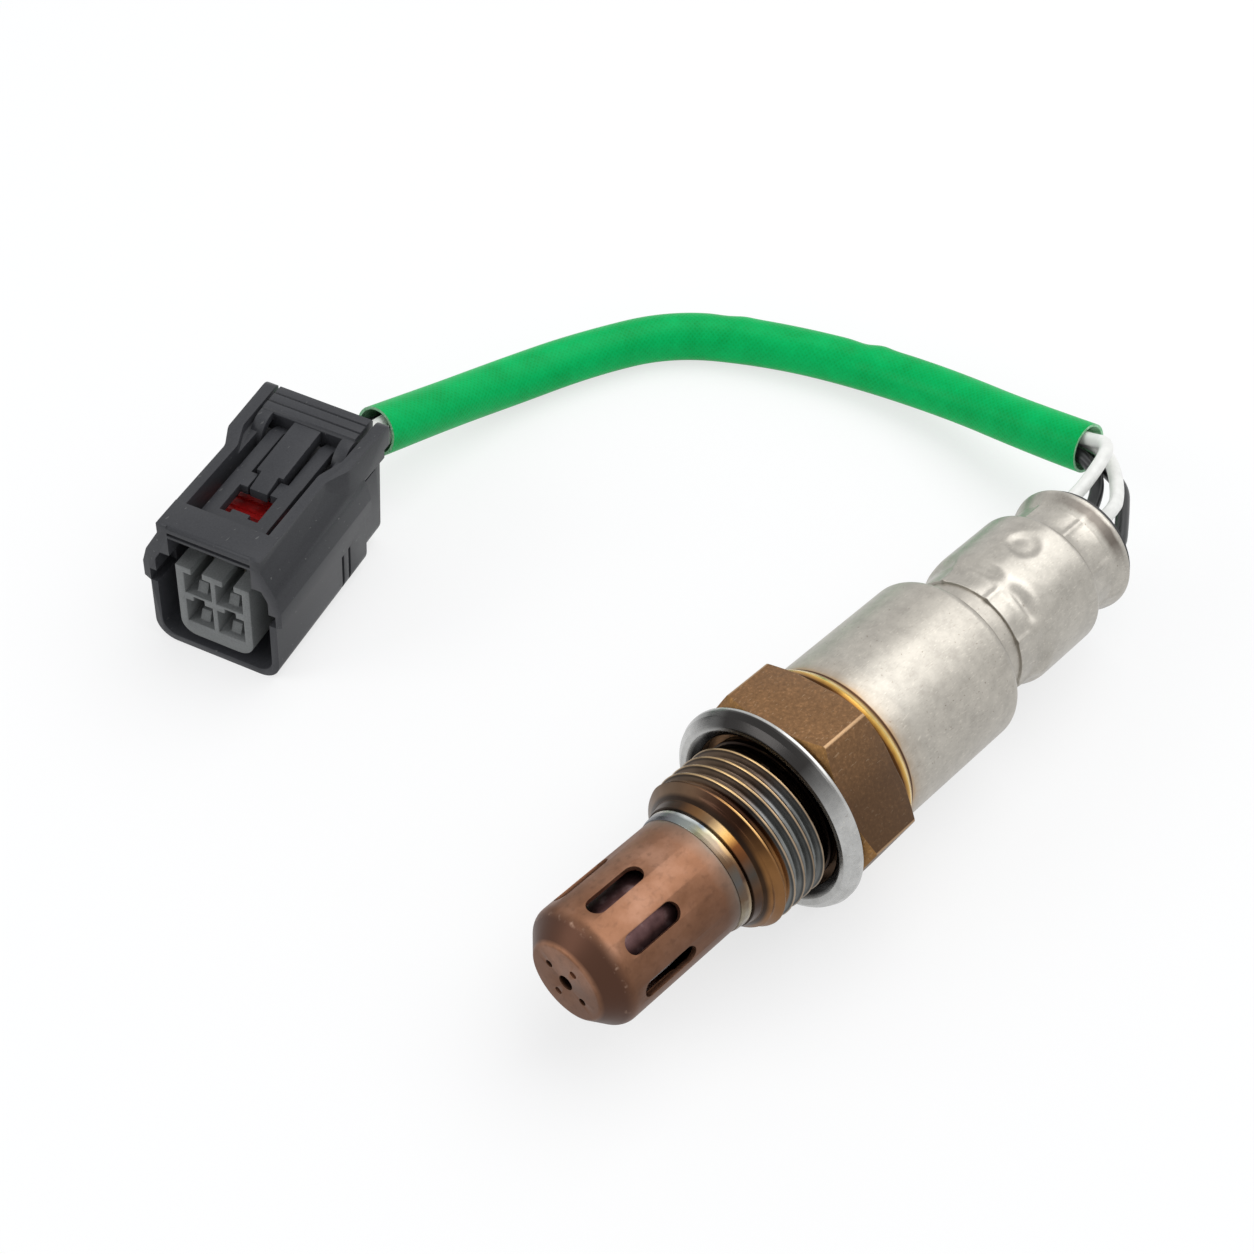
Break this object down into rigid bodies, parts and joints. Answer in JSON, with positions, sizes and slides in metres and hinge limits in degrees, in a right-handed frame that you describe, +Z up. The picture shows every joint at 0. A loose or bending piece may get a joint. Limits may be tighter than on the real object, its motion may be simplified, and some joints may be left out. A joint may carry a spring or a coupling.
{
  "type": "exhaust oxygen sensor",
  "caption": "Threaded exhaust oxygen sensor with a slotted tip protector, sealing ring, hexagon, short sleeved wire lead and a latching plug.",
  "frame": {"origin": "middle of the sensor's own box (lead and plug left out), on the surface it lies on", "axes": "+X along the sensor's axis toward the slotted tip, +Z up from the surface it lies on"},
  "size_m": [0.1055, 0.0922, 0.024],
  "materials": {
    "protector_steel": "heat-tinted satin steel",
    "inner_steel": "heat-tinted dull steel",
    "shell_steel": "bronze-brown coated steel",
    "gasket_steel": "bright rolled steel",
    "weld_gold": "gold heat-tinted weld bead",
    "sleeve_steel": "warm satin stainless steel",
    "contact_steel": "plain spring steel",
    "zirconia": "matt white ceramic",
    "steatite": "matt ceramic",
    "talc": "pressed powder",
    "black_rubber": "matt rubber",
    "red_seal": "silicone rubber",
    "green_braid": "coated glass-fibre braid",
    "white_insulation": "smooth insulation",
    "black_insulation": "smooth insulation",
    "plug_charcoal": "fine moulded texture",
    "insert_grey": "moulded",
    "terminal_tin": "tinned brass"
  },
  "bodies": {
    "root": {"outer_protector": "protector_steel", "inner_protector": "inner_steel", "threaded_shell": "shell_steel", "gasket_ring": "gasket_steel", "seat_washer": "contact_steel", "sensing_thimble": "zirconia", "heater_rod": "steatite", "talc_ring": "talc", "insulating_sleeve": "steatite", "crimp_ring": "contact_steel", "weld_ring": "weld_gold", "front_sleeve": "sleeve_steel", "rear_tube": "sleeve_steel", "contact_holder": "steatite", "holder_spring": "contact_steel", "signal_contacts": "contact_steel", "heater_contacts": "contact_steel", "grommet": "black_rubber", "green_sleeve": "green_braid", "wire_white_1": "white_insulation", "wire_white_2": "white_insulation", "wire_black_1": "black_insulation", "wire_black_2": "black_insulation", "plug_housing": "plug_charcoal", "terminal_block": "insert_grey", "ring_seal": "red_seal", "plug_terminals": "terminal_tin", "wire_seal": "red_seal", "rear_cover": "plug_charcoal"}
  },
  "joints": []
}
